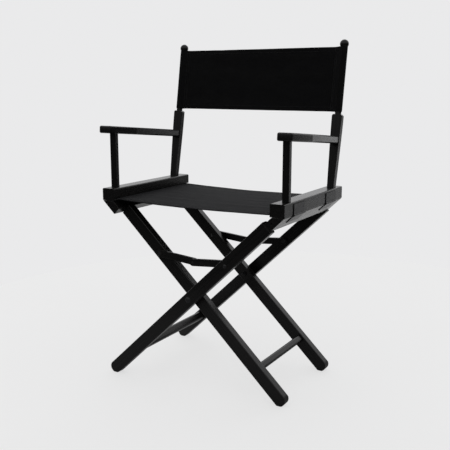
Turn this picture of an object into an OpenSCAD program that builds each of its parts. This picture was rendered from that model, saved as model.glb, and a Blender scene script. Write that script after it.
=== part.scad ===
// Folding director chair: two crossed leg frames, two side frames with armrests,
// hinged together along the seat rails, with a sling seat and a sling back.
// X runs from left to right, Y from front to back, Z up, millimetres.
// The chair stands open, on the floor plane at Z = 0.

/* [Stance] */
// Width over the outer faces of the seat rails
seat_w = 518; // [440:1:620]
// Height of the top of the seat rails above the floor
seat_h = 498; // [440:1:560]
// Height of the bolt on which the leg frames cross
pivot_h = 238; // [195:1:285]
// Gap left between the two seat rails when the chair is folded
folded_gap = 12; // [8:1:30]

/* [Side frames] */
// Length of the seat rails, front to back
rail_l = 344; // [285:1:415]
// Width of a seat rail
rail_w = 37; // [34:1:42]
// Height of a seat rail
rail_h = 31; // [28:1:38]
// Rounding of the top edges of a seat rail
rail_round = 3.5; // [2:0.5:6]
// Height of the underside of the armrests above the seat rails, at the front posts
arm_rise = 137; // [112:1:165]
// Slope of the armrests, down towards the back, degrees
arm_fall = 5; // [3:0.1:6.5]
// Thickness of an armrest
arm_t = 19; // [15.5:0.5:23]
// Width of an armrest at its front end
arm_front_w = 38; // [31:1:46]
// Greatest width of an armrest, where its taper starts
arm_w = 46; // [40:1:56]
// Width of an armrest where it meets the back post
arm_back_w = 22; // [18:1:27]
// Distance from the front end of an armrest to its widest place
arm_paddle_l = 100; // [80:1:120]
// How far the front of an armrest stands behind the front of its rail
arm_setback = 4; // [0:1:12]
// How far the middle line of an armrest stands outside the middle of its rail
arm_offset = 11; // [9:0.5:13]
// Width of a front post, across the chair
front_post_w = 17; // [14:0.5:20]
// Depth of a front post, front to back
front_post_d = 15; // [12.5:0.5:18]
// Distance from the front of the rail to the middle of the front post
front_post_y = 36; // [28:1:44]
// How far the middle of a front post stands outside the middle of its rail
front_post_out = 5.5; // [3.5:0.25:7]

/* [Back] */
// Distance from the rear of the rail to the foot of the back post
back_post_y = 40; // [30:1:48]
// How far the middle of a back post stands outside the middle of its rail
back_post_out = 4.5; // [3:0.25:6]
// Lean of the back posts from upright, degrees
rake = 9.4; // [7:0.1:12]
// Width of a back post where it stands on the rail
back_post_w = 17; // [14:0.5:21]
// Width of a back post at its shoulder
shoulder_w = 28; // [23:0.5:33]
// Depth of a back post
back_post_d = 16; // [14:0.5:20]
// Length of a back post from the rail to its shoulder
shoulder_l = 188; // [160:1:226]
// Chamfer of the shoulder
shoulder_cut = 4; // [2:0.5:6]
// Diameter of the turned top of a back post
dowel_d = 16.5; // [14:0.5:19]
// Length from the shoulder to the middle of the ball
dowel_l = 179; // [178:1:214]
// Diameter of the ball on top
ball_d = 23; // [19:0.5:26]

/* [Leg frames] */
// Width of a leg, seen from the front
leg_w = 32.5; // [27:0.5:36]
// Thickness of a leg, front to back
leg_t = 22; // [18.5:0.5:25]
// Rounding of the long edges of the wood
edge_round = 2.5; // [2:0.25:3]
// Depth of the flat that each foot stands on
foot_flat = 1; // [0.8:0.1:1.2]
// Gap between an outer leg and the inner leg beside it
leg_gap = 14; // [11.5:0.1:17]
// Distance from a leg's middle line out to the face of its lower rail
rail_offset = 12.5; // [11:0.1:15]
// Thickness of a lower rail
lower_rail_t = 22; // [20:0.5:25]
// Width of the outer face of a lower rail
lower_rail_w = 50; // [48.5:0.5:60]
// Length of the tenon on a leg
tenon_l = 20; // [16:0.5:20]
// Thickness of the tenon on a leg
tenon_t = 10; // [8:0.5:12]
// Width of the tenon on a leg
tenon_w = 14; // [11:0.5:15]
// Distance from the crossing bolt down to the foot stretcher, along the leg
stretcher_reach = 234; // [198:1:270]
// Width of a foot stretcher, across the leg
stretcher_w = 23; // [19:0.5:26]
// Thickness of a foot stretcher, along the leg
stretcher_t = 18; // [15:0.5:21.5]
// Rounding of the edges of a foot stretcher
stretcher_round = 5; // [3:0.5:6]
// How deep a foot stretcher is let into a leg
stretcher_seat = 8; // [6:0.5:10]
// Diameter of the small hole in the front end of a lower rail
end_hole_d = 4; // [3:0.5:5]

/* [Brace] */
// Distance from the crossing bolt up to the brace rivet, along the leg
brace_reach = 145; // [120:1:168]
// How far the middle joint of the open brace hangs below its ends
brace_drop = 9; // [7:0.5:11]
// Width of a brace link
link_w = 18; // [15:0.5:22]
// Thickness of a brace link
link_t = 6; // [5:0.1:6]
// Diameter of the brace rivets
rivet_d = 5; // [4:0.1:6]

/* [Hardware] */
// Diameter of the crossing bolt
bolt_d = 6; // [5:0.5:7.5]
// Diameter of the domed bolt head
bolt_head_d = 16; // [13:0.5:19.5]
// Height of the domed bolt head
bolt_head_h = 3.2; // [2.5:0.1:4]
// Diameter of the spacer between the legs
spacer_d = 18; // [14:0.5:22]
// Thickness of the washer under the nut
washer_t = 1.2; // [1:0.1:1.5]
// Width of the nut across its flats
nut_w = 10; // [9:0.5:12]
// Length of a butt hinge
hinge_l = 62; // [50:1:70]
// Height of one leaf of a hinge
leaf_h = 26; // [21:0.5:27]
// Thickness of a hinge leaf
leaf_t = 1.6; // [1.3:0.1:2]
// Diameter of the hinge knuckle
knuckle_d = 6; // [5:0.25:7]
// Diameter of the hinge pin
pin_d = 2.4; // [2:0.1:2.9]
// Distance from the middle of the rail to the middle of a hinge
hinge_y = 94; // [80:1:110]
// Diameter of the shank of a hinge screw
screw_d = 3; // [2.5:0.1:3.6]
// Length of a hinge screw
screw_l = 10; // [8:0.5:11]
// Diameter of the shank of an armrest screw
arm_screw_d = 4; // [3.4:0.1:4.6]
// Length of an armrest screw
arm_screw_l = 34; // [29:1:40]

/* [Canvas] */
// Thickness of the canvas
canvas_t = 1.8; // [1.4:0.1:2]
// Diameter of the rod in each seat hem
rod_d = 6; // [5:0.1:6]
// Diameter of the channel for rod and hem
channel_d = 10; // [10:0.1:11]
// Distance from the inner face of the rail to the middle of the channel
channel_in = 12; // [9:0.5:13]
// Height of the middle of the channel above the underside of the rail
channel_up = 7.5; // [7:0.1:8]
// Wood left at the front end of the channel
channel_stop = 8; // [5:0.5:12]
// Height of the back panel
back_panel_h = 163; // [140:1:165]
// Distance from the shoulder up to the back panel
back_panel_up = 8; // [4:0.5:10]

/* [Fit] */
// Clearance of a turning shaft in its hole, across the diameter
turn_gap = 0.16; // [0.1:0.01:0.2]
// Clearance beside a turning part
side_gap = 0.4; // [0.3:0.05:0.5]
// Clearance round a glued or screwed part
fit_gap = 0.1; // [0.05:0.01:0.12]
// Gap between a seat rail and the lower rail under it
rail_gap = 0.9; // [0.6:0.05:1.1]

/* [Hidden] */
$fn = 48;
far = 2000;
black_wood = "#1d1c1c";
black_steel = "#29292a";
black_canvas = "#303032";

// heights and half widths
rail_out = seat_w / 2;
rail_mid = rail_out - rail_w / 2;
rail_in = rail_out - rail_w;
rail_under = seat_h - rail_h;

// the hinge line seen from the crossing bolt, and the lean of the legs
hinge_rise = rail_under - pivot_h;
hinge_arm = norm([rail_out, hinge_rise]);
hinge_angle = atan2(hinge_rise, rail_out);
leg_angle = hinge_angle + asin(rail_offset / hinge_arm);
hinge_x = sqrt(hinge_arm * hinge_arm - rail_offset * rail_offset);
leg_top = hinge_x - lower_rail_w;
foot_reach = (pivot_h - leg_w / 2 + foot_flat) / sin(leg_angle);

// layers of the legs, from the middle of the chair towards each end
outer_leg_y = rail_l / 2 - leg_t;
inner_leg_y = outer_leg_y - leg_gap - leg_t;
inner_face_y = inner_leg_y + leg_t;
link_gap = (leg_gap - 2 * link_t) / 4;

// the brace
brace_half = brace_reach * cos(leg_angle);
link_l = norm([brace_half, brace_drop]);
link_angle = asin(brace_drop / link_l);

// the folded position, for the report and the record
fold_angle = acos((rail_w + folded_gap / 2) / hinge_arm) - hinge_angle;
folded_half = brace_reach * cos(leg_angle + fold_angle);
link_turn = acos(folded_half / link_l) - link_angle - fold_angle;
echo(leg_angle = leg_angle, fold_angle = fold_angle, link_turn = link_turn);

// back posts and armrests
back_foot_y = rail_l / 2 - back_post_y;
back_post_x = rail_mid + back_post_out;
ball_z = shoulder_l + dowel_l;
front_foot_y = front_post_y - rail_l / 2;
arm_x = rail_mid + arm_offset;
arm_front_y = arm_setback - rail_l / 2;
arm_drop = (back_foot_y - front_foot_y) * tan(arm_fall);
sleeve_d = dowel_d + 2 * fit_gap + 2 * canvas_t;

// the seat canvas passes a little above the floor of the channel, with room on both faces
slot_lift = 2.2;
slot_room = 0.6;
canvas_front_gap = 2;
canvas_rear_gap = 6;
canvas_z = rail_under + channel_up - channel_d / 2 + slot_lift;
channel_x = rail_in + channel_in;
seat_y0 = channel_stop + canvas_front_gap - rail_l / 2;
seat_y1 = rail_l / 2 - canvas_rear_gap;

// the origin sits under the middle of the whole chair
front_edge = -rail_l / 2 - bolt_head_h - fit_gap;
rear_edge = back_foot_y + ball_z * sin(rake) + ball_d / 2;
y_mid = (front_edge + rear_edge) / 2;

// ---- helpers ----

function unit(v) = v / norm(v);

// the points of a corner p rounded by r, coming from a and going to b
function corner(a, p, b, r, steps = 6) =
    let (u = unit(a - p), v = unit(b - p), half = acos(u * v) / 2,
         c = p + unit(u + v) * r / sin(half),
         s = p + u * r / tan(half) - c, e = p + v * r / tan(half) - c,
         a0 = atan2(s.y, s.x), turn = atan2(e.y, e.x) - a0,
         sweep = turn > 180 ? turn - 360 : turn < -180 ? turn + 360 : turn)
    [for (i = [0 : steps]) c + r * [cos(a0 + sweep * i / steps), sin(a0 + sweep * i / steps)]];

// an outline with every corner rounded by its own radius
function rounded(pts, radii) =
    let (n = len(pts))
    [for (i = [0 : n - 1])
        each corner(pts[(i + n - 1) % n], pts[i], pts[(i + 1) % n], radii[i])];

// a rectangle with round corners, from its lowest corner
module round_rect(size, r) {
    translate([r, 0]) square([size.x - 2 * r, size.y]);
    translate([0, r]) square([size.x, size.y - 2 * r]);
    for (x = [r, size.x - r], y = [r, size.y - r]) translate([x, y]) circle(r);
}

// shifts the chair so that the origin is under its middle
module placed() { translate([0, -y_mid, 0]) children(); }

// side = 1 is the right, -1 the left
module on_side(side) { if (side > 0) children(); else mirror([1, 0, 0]) children(); }

// end = 1 is the rear, -1 the front
module at_end(end) { if (end > 0) children(); else mirror([0, 1, 0]) children(); }

// a leg frame's own axes: X runs up the leg, Z across it, away from the floor side;
// side = 1 is the outer frame, with its top on the right, -1 the inner frame
module on_frame(side) {
    on_side(side) translate([0, 0, pivot_h]) rotate([0, -leg_angle, 0]) children();
}

// a back post's own axes: Z runs up the leaning post from the top of the rail
module on_post(side) {
    on_side(side) translate([back_post_x, back_foot_y, seat_h]) rotate([-rake, 0, 0]) children();
}

// a flat shape given in X and Z, thickened from y0 to y0 + t
module slab(y0, t) { translate([0, y0 + t, 0]) rotate([90, 0, 0]) linear_extrude(t) children(); }

// a bar along X with round edges
module x_bar(x0, x1, y0, wy, wz, r) {
    translate([x0, y0, -wz / 2]) rotate([90, 0, 90]) linear_extrude(x1 - x0)
        round_rect([wy, wz], r);
}

// a cylinder along Y, from y0 to y1
module y_rod(y0, y1, d) { translate([0, y1, 0]) rotate([90, 0, 0]) cylinder(d = d, h = y1 - y0); }

// a countersunk screw along Z with its head at the top, at Z = 0
module screw(d, l, grow = 0) {
    head = 2 * d;
    translate([0, 0, -l]) cylinder(d = d + grow, h = l);
    translate([0, 0, -head / 4]) cylinder(d1 = d + grow, d2 = head + grow, h = head / 4);
}

// the same screw with a cross-shaped recess for the driver
module driven_screw(d, l) {
    reach = 0.55 * d;
    slot = 0.28 * d;
    difference() {
        screw(d, l);
        for (turn = [0, 90]) rotate(turn)
            translate([-reach, -slot / 2, -0.4 * d]) cube([2 * reach, slot, d]);
    }
}

// ---- leg frames ----

// y of the face of a leg that looks to the middle of the chair
function leg_y(side) = side > 0 ? outer_leg_y : inner_leg_y;

// middle of the tenon across the leg, which is the middle of the lower rail
tenon_z = lower_rail_t / 2 - rail_offset;

module stretcher_bar(side, reach) {
    translate([-stretcher_reach, 0, 0]) slab(-reach, 2 * reach)
        translate([-stretcher_t / 2, -stretcher_w / 2]) round_rect([stretcher_t, stretcher_w], stretcher_round);
}

module leg(side, end) {
    y0 = leg_y(side);
    color(black_wood) placed() difference() {
        at_end(end) on_frame(side) {
            difference() {
                intersection() {
                    slab(y0, leg_t) {
                        translate([-foot_reach, 0]) circle(leg_w / 2);
                        translate([-foot_reach, -leg_w / 2]) square([foot_reach + leg_top, leg_w]);
                    }
                    x_bar(-foot_reach - leg_w, leg_top, y0, leg_t, leg_w, edge_round);
                }
                y_rod(y0 - 1, y0 + leg_t + 1, bolt_d + turn_gap);
                translate([brace_reach, 0, 0]) y_rod(y0 - 1, y0 + leg_t + 1, rivet_d + fit_gap);
                stretcher_bar(side, y0 + stretcher_seat + fit_gap);
            }
            translate([leg_top - 1, y0 + (leg_t - tenon_t) / 2, tenon_z - tenon_w / 2])
                cube([tenon_l + 1, tenon_t, tenon_w]);
        }
        translate([-far / 2, -far / 2, -far]) cube(far);
    }
}

module foot_stretcher(side) {
    color(black_wood) placed() on_frame(side) stretcher_bar(side, leg_y(side) + stretcher_seat);
}

module lower_rail(side) {
    top_out = hinge_x - rail_gap / sin(leg_angle);
    y_leg = leg_y(side) + leg_t / 2;
    color(black_wood) placed() on_frame(side) difference() {
        slab(-rail_l / 2, rail_l) translate([0, -rail_offset]) polygon(rounded([
            [leg_top, 0], [top_out, 0],
            [top_out - lower_rail_t / tan(leg_angle), lower_rail_t], [leg_top, lower_rail_t]],
            [2, 0.5, 1, 2]));
        for (y = [-y_leg, y_leg])
            translate([leg_top - 1, y - tenon_t / 2 - fit_gap, tenon_z - tenon_w / 2 - fit_gap])
                cube([tenon_l + 2, tenon_t + 2 * fit_gap, tenon_w + 2 * fit_gap]);
        for (end = [-1, 1]) at_end(end) translate([hinge_x, 0, -rail_offset]) {
            hinge_pocket();
            leaf_screw_holes();
        }
        translate([leg_top + lower_rail_w / 3, 0, tenon_z])
            y_rod(-rail_l / 2 - 1, 3 * end_hole_d - rail_l / 2, end_hole_d);
    }
}

// ---- crossing bolts ----

module pivot_bolt(end) {
    color(black_steel) placed() at_end(end) translate([0, 0, pivot_h]) {
        y_rod(inner_leg_y - washer_t - nut_w / 2 - bolt_d / 2, rail_l / 2 + 1, bolt_d);
        translate([0, rail_l / 2 + fit_gap, 0]) rotate([-90, 0, 0]) dome(bolt_head_d, bolt_head_h);
    }
}

// a low dome on Z = 0
module dome(d, h) {
    r = (d * d / 4 + h * h) / (2 * h);
    rotate_extrude($fn = 64) intersection() {
        translate([0, h - r]) circle(r, $fn = 128);
        square([d / 2, h]);
    }
}

module pivot_spacer(end) {
    color(black_steel) placed() at_end(end) translate([0, 0, pivot_h]) difference() {
        y_rod(inner_face_y + side_gap, outer_leg_y - side_gap, spacer_d);
        y_rod(inner_face_y, outer_leg_y, bolt_d + fit_gap);
    }
}

module pivot_washers() {
    color(black_steel) placed() for (end = [-1, 1]) at_end(end) translate([0, 0, pivot_h])
        difference() {
            y_rod(inner_leg_y - side_gap - washer_t, inner_leg_y - side_gap, 1.35 * nut_w);
            y_rod(inner_leg_y - nut_w, inner_leg_y, bolt_d + fit_gap);
        }
}

module pivot_nuts() {
    y1 = inner_leg_y - side_gap - washer_t - fit_gap;
    color(black_steel) placed() for (end = [-1, 1]) at_end(end) translate([0, 0, pivot_h])
        difference() {
            translate([0, y1, 0]) rotate([90, 0, 0])
                cylinder(d = nut_w / cos(30), h = nut_w / 2, $fn = 6);
            y_rod(y1 - nut_w, y1 + 1, bolt_d + fit_gap);
        }
}

// ---- folding brace ----

// y of the face of a link that looks to the middle of the chair
function link_y(side) = side > 0 ? outer_leg_y - link_gap - link_t : inner_face_y + link_gap;

// a link's own axes: X runs from the leg rivet to the middle joint
module on_link(side) {
    on_frame(side) translate([brace_reach, 0, 0]) rotate([0, leg_angle, 0])
        rotate([0, 180 - link_angle, 0]) children();
}

module brace_link(side, end) {
    y0 = link_y(side);
    color(black_wood) placed() at_end(end) on_link(side) difference() {
        slab(y0, link_t) {
            circle(link_w / 2);
            translate([0, -link_w / 2]) square([link_l, link_w]);
            translate([link_l, 0]) circle(link_w / 2);
        }
        y_rod(y0 - 1, y0 + link_t + 1, rivet_d + turn_gap);
        link_face(side) screw(rivet_d, link_t / 2, turn_gap);
        translate([link_l, 0, 0]) {
            y_rod(y0 - 1, y0 + link_t + 1, rivet_d + fit_gap);
            link_face(side) screw(rivet_d, link_t / 2, fit_gap);
        }
    }
}

// Z = 0 on the face of a link that looks to the other link
module link_face(side) {
    y = side > 0 ? link_y(side) : link_y(side) + link_t;
    translate([0, y, 0]) rotate([side > 0 ? 90 : -90, 0, 0]) children();
}

// half of the rivet that joins two links; each link carries its own half
module middle_rivet(side, end) {
    color(black_steel) placed() at_end(end) on_link(side) translate([link_l, 0, 0])
        link_face(side) screw(rivet_d, link_t);
}

// a rivet through the link and the leg, with a dome on the far face of the leg
module brace_rivets(side) {
    far_y = side > 0 ? rail_l / 2 + fit_gap : inner_leg_y - fit_gap;
    color(black_steel) placed() for (end = [-1, 1]) at_end(end)
        on_frame(side) translate([brace_reach, 0, 0]) {
            link_face(side) screw(rivet_d, link_t + link_gap + leg_t);
            translate([0, far_y, 0]) rotate([side > 0 ? -90 : 90, 0, 0]) dome(2 * rivet_d, 2);
        }
}

// ---- hinges ----
// drawn for the right side about the hinge line; X points out, Z up the seat rail

knuckle_l = hinge_l / 5;
root_x = knuckle_d / 2 + side_gap;
leaf_z = -leaf_t - fit_gap;
knuckle_gap = 0.1;

// room for the knuckle in the edges of the two rails
module hinge_pocket() {
    half = hinge_l / 2 + side_gap;
    y_rod(hinge_y - half, hinge_y + half, knuckle_d + 2 * side_gap);
}

// one leaf along -X, lying on the outer face, with the knuckles whose numbers are given
module leaf(numbers) {
    y0 = hinge_y - hinge_l / 2;
    difference() {
        union() {
            translate([-leaf_h, y0, leaf_z]) cube([leaf_h - root_x, hinge_l, leaf_t]);
            for (i = numbers) translate([0, y0 + i * knuckle_l + knuckle_gap, 0]) {
                y_rod(0, knuckle_l - 2 * knuckle_gap, knuckle_d);
                translate([-root_x - 1, 0, leaf_z])
                    cube([root_x + 1, knuckle_l - 2 * knuckle_gap, leaf_t]);
            }
        }
        y_rod(y0 - 1, y0 + hinge_l + 1, pin_d + fit_gap);
        leaf_screw_holes();
    }
}

// the three screws of one leaf start at its outer face, the middle one further out
module at_leaf_screws() {
    for (i = [-1, 0, 1])
        translate([-leaf_h * (i == 0 ? 0.7 : 0.54), hinge_y + i * hinge_l / 3, leaf_z])
            rotate([180, 0, 0]) children();
}

module leaf_screws() { at_leaf_screws() driven_screw(screw_d, screw_l); }

module leaf_screw_holes() { at_leaf_screws() screw(screw_d, screw_l, fit_gap); }

// turns a leaf drawn along -X so that it lies up the outer face of the seat rail
module up_rail() {
    translate([rail_out, 0, rail_under]) mirror([1, 0, 0]) rotate([0, 90, 0]) children();
}

module hinge_upper(side, end) {
    color(black_steel) placed() on_side(side) at_end(end) up_rail() leaf([0, 2, 4]);
}

module hinge_lower(side, end) {
    color(black_steel) placed() at_end(end) on_frame(side)
        translate([hinge_x, 0, -rail_offset]) leaf([1, 3]);
}

module hinge_pins(side) {
    y0 = hinge_y - hinge_l / 2;
    color(black_steel) placed() on_side(side) for (end = [-1, 1]) at_end(end)
        translate([rail_out, 0, rail_under]) y_rod(y0, y0 + hinge_l, pin_d);
}

module hinge_screws_upper(side) {
    color(black_steel) placed() on_side(side) for (end = [-1, 1]) at_end(end)
        up_rail() leaf_screws();
}

module hinge_screws_lower(side) {
    color(black_steel) placed() for (end = [-1, 1]) at_end(end) on_frame(side)
        translate([hinge_x, 0, -rail_offset]) leaf_screws();
}

// ---- side frames ----

post_tenon_d = 10;
post_tenon_l = 15;

module post_tenon(grow = 0) {
    translate([0, 0, -post_tenon_l - grow])
        cylinder(d = post_tenon_d + 2 * grow, h = post_tenon_l + grow + 2);
}

// a front post's own axes: Z runs up from the top of the rail
module front_post_place(side) {
    on_side(side) translate([rail_mid + front_post_out, front_foot_y, seat_h]) children();
}

// an armrest's own axes: Z = 0 is its underside, Y = 0 the front post, Y slopes down
module on_arm(side) {
    on_side(side) translate([arm_x, front_foot_y, seat_h + arm_rise])
        rotate([-arm_fall, 0, 0]) children();
}

module seat_rail(side) {
    color(black_wood) placed() difference() {
        on_side(side) difference() {
            slab(-rail_l / 2, rail_l) polygon(rounded([
                [rail_in, rail_under], [rail_out, rail_under], [rail_out, seat_h], [rail_in, seat_h]],
                [1.5, 1, rail_round, rail_round]));
            translate([channel_x, 0, rail_under + channel_up])
                y_rod(channel_stop - rail_l / 2, rail_l / 2 + 1, channel_d);
            translate([rail_in - 1, channel_stop - rail_l / 2, canvas_z - canvas_t / 2 - slot_room])
                cube([channel_in + 1, rail_l, canvas_t + 2 * slot_room]);
            for (end = [-1, 1]) at_end(end) up_rail() {
                hinge_pocket();
                leaf_screw_holes();
            }
        }
        front_post_place(side) post_tenon(fit_gap);
        on_post(side) post_tenon(fit_gap);
    }
}

module front_post(side) {
    color(black_wood) placed() {
        difference() {
            front_post_place(side) translate([-front_post_w / 2, -front_post_d / 2, 0])
                linear_extrude(arm_rise + front_post_d)
                    round_rect([front_post_w, front_post_d], edge_round);
            on_arm(side) translate([-far / 2, -far / 2, 0]) cube(far);
        }
        front_post_place(side) {
            post_tenon();
            translate([0, 0, arm_rise - 2]) cylinder(d = post_tenon_d, h = 2 + arm_t / 2);
        }
    }
}

module back_post(side) {
    w0 = back_post_w / 2;
    w1 = shoulder_w / 2;
    dip = back_post_d;
    color(black_wood) placed() difference() {
        on_post(side) {
            intersection() {
                slab(-back_post_d / 2, back_post_d) polygon([
                    [-w0, -dip], [w0, -dip], [w1, shoulder_l - shoulder_cut],
                    [w1 - shoulder_cut, shoulder_l], [shoulder_cut - w1, shoulder_l],
                    [-w1, shoulder_l - shoulder_cut]]);
                translate([-w1, -back_post_d / 2, -dip]) linear_extrude(shoulder_l + dip)
                    round_rect([shoulder_w, back_post_d], edge_round);
                for (turn = [-1, 1]) post_edges(turn, w0, w1, dip);
            }
            translate([0, 0, shoulder_l - 2]) cylinder(d = dowel_d, h = dowel_l);
            translate([0, 0, ball_z]) sphere(d = ball_d);
        }
        on_side(side) translate([0, back_foot_y - far / 2, seat_h - far]) cube(far);
        on_side(side) arm_screw_place() screw(arm_screw_d, arm_screw_l, fit_gap);
    }
    color(black_wood) placed() on_post(side) post_tenon();
}

// the tapered sides of a back post, with round edges
module post_edges(turn, w0, w1, dip) {
    lean = atan2(w1 - w0, shoulder_l - shoulder_cut + dip);
    translate([turn * w0, 0, -dip]) rotate([0, turn * lean, 0])
        translate([turn > 0 ? -shoulder_w : 0, -back_post_d / 2, -dip])
            linear_extrude(2 * shoulder_l) round_rect([shoulder_w, back_post_d], edge_round);
}

// Z = 0 on the rear face of a back post, at the height of the armrest, looking back
module arm_screw_place() {
    up = (arm_rise + arm_t / 2 - arm_drop - back_post_d / 2 * sin(rake)) / cos(rake);
    translate([back_post_x, back_foot_y, seat_h]) rotate([-rake, 0, 0])
        translate([0, back_post_d / 2, up]) rotate([-90, 0, 0]) children();
}

module arm_screw(side) {
    color(black_steel) placed() on_side(side) arm_screw_place()
        driven_screw(arm_screw_d, arm_screw_l);
}

// a paddle that tapers to the back post; its outline runs past the post, which cuts it off
module armrest(side) {
    y0 = arm_front_y - front_foot_y;
    y1 = y0 + arm_paddle_l;
    y2 = back_foot_y - front_foot_y + 2 * back_post_d;
    a = arm_front_w / 2;
    b = arm_w / 2;
    c = arm_back_w / 2;
    shift = arm_x - back_post_x;
    front_r = 6;
    side_r = 20;
    color(black_wood) placed() difference() {
        on_arm(side) linear_extrude(arm_t) polygon(rounded(
            [[-a, y0], [a, y0], [b, y1], [c - shift, y2], [-c - shift, y2], [-b, y1]],
            [front_r, front_r, side_r, 1, 1, side_r]));
        on_post(side) translate([-far / 2, -back_post_d / 2, -far / 2]) cube(far);
        front_post_place(side) translate([0, 0, arm_rise - 1])
            cylinder(d = post_tenon_d + 2 * fit_gap, h = 1 + arm_t / 2 + fit_gap);
        on_side(side) arm_screw_place() screw(arm_screw_d, arm_screw_l, fit_gap);
    }
}

// ---- canvas ----

// how far a hem reaches past its rail, and the gap that keeps a panel off its hems
canvas_lap = 1.5;
panel_gap = 0.2;

module seat_rod(side) {
    color(black_wood) placed() on_side(side) translate([channel_x, 0, rail_under + channel_up])
        y_rod(seat_y0, seat_y1, rod_d);
}

module seat_hem(side) {
    color(black_canvas) placed() on_side(side) difference() {
        union() {
            translate([channel_x, 0, rail_under + channel_up])
                y_rod(seat_y0, seat_y1, channel_d - slot_room);
            translate([rail_in - canvas_lap, seat_y0, canvas_z - canvas_t / 2])
                cube([channel_in + canvas_lap, seat_y1 - seat_y0, canvas_t]);
        }
        translate([channel_x, 0, rail_under + channel_up])
            y_rod(seat_y0 - 1, seat_y1 + 1, rod_d + 2 * fit_gap);
    }
}

module seat_panel() {
    half = rail_in - canvas_lap - panel_gap;
    color(black_canvas) placed() translate([-half, seat_y0, canvas_z - canvas_t / 2])
        cube([2 * half, seat_y1 - seat_y0, canvas_t]);
}

module back_sleeve(side) {
    color(black_canvas) placed() on_post(side) translate([0, 0, shoulder_l + back_panel_up])
        difference() {
            cylinder(d = sleeve_d, h = back_panel_h);
            translate([0, 0, -1]) cylinder(d = dowel_d + 2 * fit_gap, h = back_panel_h + 2);
        }
}

module back_panel() {
    half = back_post_x - sleeve_d / 2 - panel_gap;
    color(black_canvas) placed() on_post(1)
        translate([-back_post_x - half, -canvas_t / 2, shoulder_l + back_panel_up])
            cube([2 * half, canvas_t, back_panel_h]);
}

// ---- drawing ----

leg(1, -1);  // leg_outer_front
leg(1, 1);  // leg_outer_rear
leg(-1, -1);  // leg_inner_front
leg(-1, 1);  // leg_inner_rear
lower_rail(-1);  // lower_rail_left
lower_rail(1);  // lower_rail_right
foot_stretcher(1);  // foot_stretcher_left
foot_stretcher(-1);  // foot_stretcher_right
pivot_bolt(-1);  // pivot_bolt_front
pivot_bolt(1);  // pivot_bolt_rear
pivot_spacer(-1);  // pivot_spacer_front
pivot_spacer(1);  // pivot_spacer_rear
pivot_washers();
pivot_nuts();
brace_link(-1, -1);  // brace_link_front_inner
brace_link(1, -1);  // brace_link_front_outer
brace_link(-1, 1);  // brace_link_rear_inner
brace_link(1, 1);  // brace_link_rear_outer
middle_rivet(-1, -1);  // middle_rivet_front_inner
middle_rivet(1, -1);  // middle_rivet_front_outer
middle_rivet(-1, 1);  // middle_rivet_rear_inner
middle_rivet(1, 1);  // middle_rivet_rear_outer
brace_rivets(-1);  // brace_rivets_inner
brace_rivets(1);  // brace_rivets_outer
seat_rail(-1);  // seat_rail_left
seat_rail(1);  // seat_rail_right
front_post(-1);  // front_post_left
front_post(1);  // front_post_right
back_post(-1);  // back_post_left
back_post(1);  // back_post_right
armrest(-1);  // armrest_left
armrest(1);  // armrest_right
arm_screw(-1);  // arm_screw_left
arm_screw(1);  // arm_screw_right
hinge_upper(-1, -1);  // hinge_front_left_upper
hinge_lower(-1, -1);  // hinge_front_left_lower
hinge_upper(-1, 1);  // hinge_rear_left_upper
hinge_lower(-1, 1);  // hinge_rear_left_lower
hinge_upper(1, -1);  // hinge_front_right_upper
hinge_lower(1, -1);  // hinge_front_right_lower
hinge_upper(1, 1);  // hinge_rear_right_upper
hinge_lower(1, 1);  // hinge_rear_right_lower
hinge_pins(-1);  // hinge_pins_left
hinge_pins(1);  // hinge_pins_right
hinge_screws_upper(-1);  // hinge_screws_left_upper
hinge_screws_lower(-1);  // hinge_screws_left_lower
hinge_screws_upper(1);  // hinge_screws_right_upper
hinge_screws_lower(1);  // hinge_screws_right_lower
seat_rod(-1);  // seat_rod_left
seat_rod(1);  // seat_rod_right
seat_hem(-1);  // seat_hem_left
seat_hem(1);  // seat_hem_right
seat_panel();
back_sleeve(-1);  // back_sleeve_left
back_sleeve(1);  // back_sleeve_right
back_panel();
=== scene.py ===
# %% [markdown]
# # Folding director chair
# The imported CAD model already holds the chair: two crossed leg frames, two side frames hinged
# to them, folding braces, bolts, hinges and turned back posts. This file gives it its looks.
# The canvas seat, the canvas back and the armrests are made anew, because cloth sags and a
# hand-finished armrest has soft edges. Everything else keeps its CAD shape and gets a finish.
# All lengths are metres, X runs from left to right, Y from front to back, and Z up.

# %% Load the frame
import math

import bpy
import numpy as np
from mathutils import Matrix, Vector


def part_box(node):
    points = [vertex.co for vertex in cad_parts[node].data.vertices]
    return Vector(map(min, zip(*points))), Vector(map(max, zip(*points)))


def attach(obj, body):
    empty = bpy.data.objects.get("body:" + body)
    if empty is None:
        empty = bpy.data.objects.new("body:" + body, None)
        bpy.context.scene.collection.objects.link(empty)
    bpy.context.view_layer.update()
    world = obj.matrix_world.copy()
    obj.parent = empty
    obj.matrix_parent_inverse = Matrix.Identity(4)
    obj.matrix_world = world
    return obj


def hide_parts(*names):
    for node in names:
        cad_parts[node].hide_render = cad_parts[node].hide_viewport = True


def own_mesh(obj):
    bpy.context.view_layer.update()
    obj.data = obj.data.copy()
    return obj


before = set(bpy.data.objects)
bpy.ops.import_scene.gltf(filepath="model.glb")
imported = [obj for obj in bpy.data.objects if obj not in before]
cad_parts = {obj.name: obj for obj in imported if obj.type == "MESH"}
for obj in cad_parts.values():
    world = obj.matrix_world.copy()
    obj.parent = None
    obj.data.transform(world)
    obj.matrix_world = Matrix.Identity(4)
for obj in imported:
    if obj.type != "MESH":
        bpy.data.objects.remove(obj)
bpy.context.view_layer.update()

# %% [markdown]
# ## Camera
# A product picture of a chair is taken from a few steps away, a little above the seat and
# turned to one side, so that the front, one side and the seat all show. A longish lens keeps
# the uprights nearly parallel. The camera is placed by the angles it looks from, which is
# easier to think about than a location, and aimed at a point near the middle of the chair.

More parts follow.
